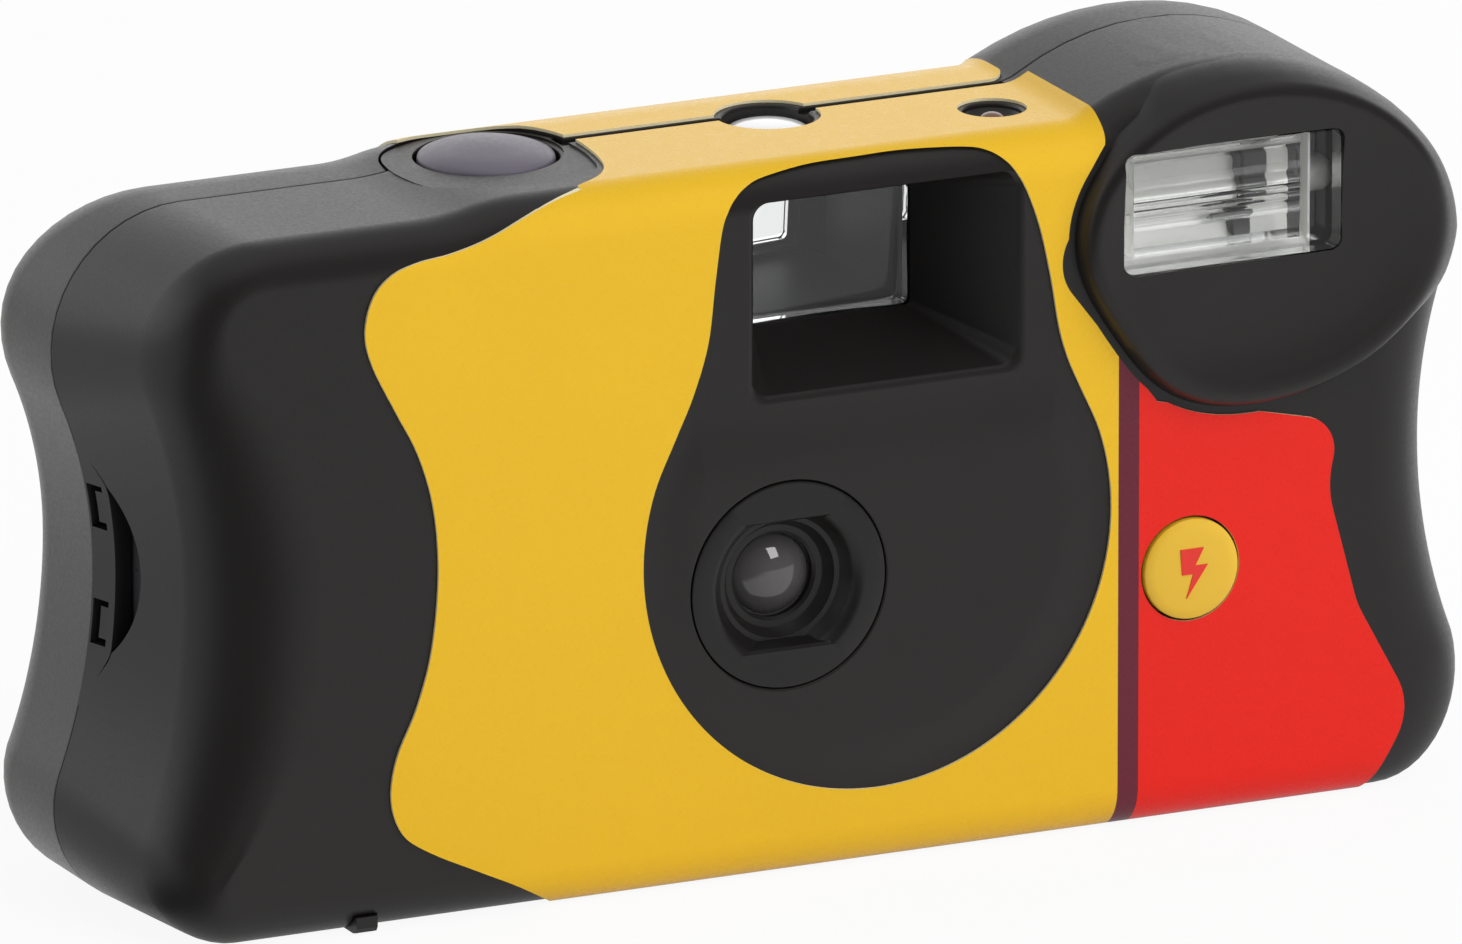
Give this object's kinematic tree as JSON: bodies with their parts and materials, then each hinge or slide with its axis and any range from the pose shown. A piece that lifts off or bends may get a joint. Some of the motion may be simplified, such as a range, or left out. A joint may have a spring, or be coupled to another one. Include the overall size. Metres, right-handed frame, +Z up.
{
  "type": "disposable film camera",
  "caption": "Compact point-and-shoot film camera with waisted ends, a round lens field, a viewfinder funnel, a raised oval flash head and a label round its front.",
  "frame": {"origin": "middle of the footprint, on the surface that the camera stands on", "axes": "+Z up, the lens looks along -Y, +X to the right as seen from the front"},
  "size_m": [0.117, 0.0322, 0.0612],
  "materials": {
    "cover_plastic": "fine grained charcoal",
    "label_film": "satin printed film",
    "button_plastic": "satin grey",
    "signal_plastic": "yellow",
    "clear_plastic": "clear",
    "lamp_amber": "amber",
    "frame_plastic": "black",
    "pale_plastic": "off-white",
    "bright_metal": "bright",
    "mirror_metal": "polished",
    "brass": "bright",
    "board": "circuit board",
    "film": "film base",
    "cartridge_metal": "printed tin",
    "cell_sleeve": "printed sleeve",
    "winding": "enamelled wire and tape"
  },
  "bodies": {
    "camera": {"front_cover": "cover_plastic", "back_cover": "cover_plastic", "front_label": "label_film", "rear_label": "label_film", "main_frame": "frame_plastic", "button_spring": "bright_metal", "counter_window": "clear_plastic", "ready_lamp_lens": "lamp_amber", "ready_lamp": "lamp_amber", "flash_window": "clear_plastic", "flash_reflector": "mirror_metal", "flash_tube": "clear_plastic", "flash_contact": "brass", "circuit_board": "board", "capacitor": "cell_sleeve", "transformer": "winding", "trigger_coil": "winding", "battery": "cell_sleeve", "battery_contact_plus": "bright_metal", "battery_contact_minus": "bright_metal", "lens_ring": "cover_plastic", "taking_lens": "clear_plastic", "shutter_spring": "bright_metal", "release_spring": "bright_metal", "viewfinder_front_lens": "clear_plastic", "viewfinder_eyepiece": "clear_plastic", "film_cartridge": "cartridge_metal", "film_strip": "film"},
    "shutter_release": {"shutter_button": "button_plastic"},
    "flash_switch": {"flash_button": "signal_plastic"},
    "advance_wheel": {"thumbwheel": "frame_plastic", "cartridge_spool": "frame_plastic"},
    "supply": {"supply_spool": "frame_plastic", "film_roll": "film"},
    "sprocket": {"sprocket_wheel": "pale_plastic"},
    "counter": {"counter_wheel": "frame_plastic"},
    "blade": {"shutter_blade": "bright_metal"},
    "lever": {"release_lever": "pale_plastic"},
    "pawl": {"ratchet_pawl": "pale_plastic"},
    "door": {"film_door": "cover_plastic"}
  },
  "joints": [
    {"name": "shutter_press", "type": "slide", "parent": "camera", "child": "shutter_release", "axis": [0, 0, -1], "range_m": [0, 0.0015], "stiffness_N_per_m": 400, "deforming": ["button_spring"]},
    {"name": "flash_press", "type": "slide", "parent": "camera", "child": "flash_switch", "axis": [0, 1, 0], "range_m": [0, 0.0009], "stiffness_N_per_m": 400},
    {"name": "advance", "type": "hinge", "parent": "camera", "child": "advance_wheel", "pos_m": [-0.0405, 0.00093, 0.0492], "axis": [0, 0, 1], "continuous": true},
    {"name": "supply_turn", "type": "hinge", "parent": "camera", "child": "supply", "pos_m": [0.041, 0.00407, 0.024], "axis": [0, 0, 1], "continuous": true},
    {"name": "sprocket_turn", "type": "hinge", "parent": "camera", "child": "sprocket", "pos_m": [-0.0225, 0.00692, 0.0379], "axis": [0, 0, 1], "continuous": true},
    {"name": "counter_turn", "type": "hinge", "parent": "camera", "child": "counter", "pos_m": [0.007, 0.00057, 0.0547], "axis": [0, 0, 1], "continuous": true},
    {"name": "blade_swing", "type": "hinge", "parent": "camera", "child": "blade", "pos_m": [0.0028, -0.00962, 0.0285], "axis": [0, 1, 0], "range_deg": [0, 55], "stiffness_Nm_per_rad": 0.001},
    {"name": "lever_swing", "type": "hinge", "parent": "camera", "child": "lever", "pos_m": [-0.0093, -0.00363, 0.0403], "axis": [0, 0, 1], "range_deg": [0, 15], "stiffness_Nm_per_rad": 0.002},
    {"name": "pawl_lift", "type": "hinge", "parent": "camera", "child": "pawl", "pos_m": [-0.0261, -0.00827, 0.0478], "axis": [0, 0, 1], "range_deg": [0, 12], "stiffness_Nm_per_rad": 0.001},
    {"name": "door_swing", "type": "hinge", "parent": "camera", "child": "door", "pos_m": [-0.0405, 0.00972, 0.0008], "axis": [1, 0, 0], "range_deg": [0, 95]}
  ],
  "couplings": [
    {"joint": "supply_turn", "follows": "advance", "ratio": 0.94},
    {"joint": "sprocket_turn", "follows": "advance", "ratio": 1.33},
    {"joint": "counter_turn", "follows": "advance", "ratio": 0.033}
  ]
}
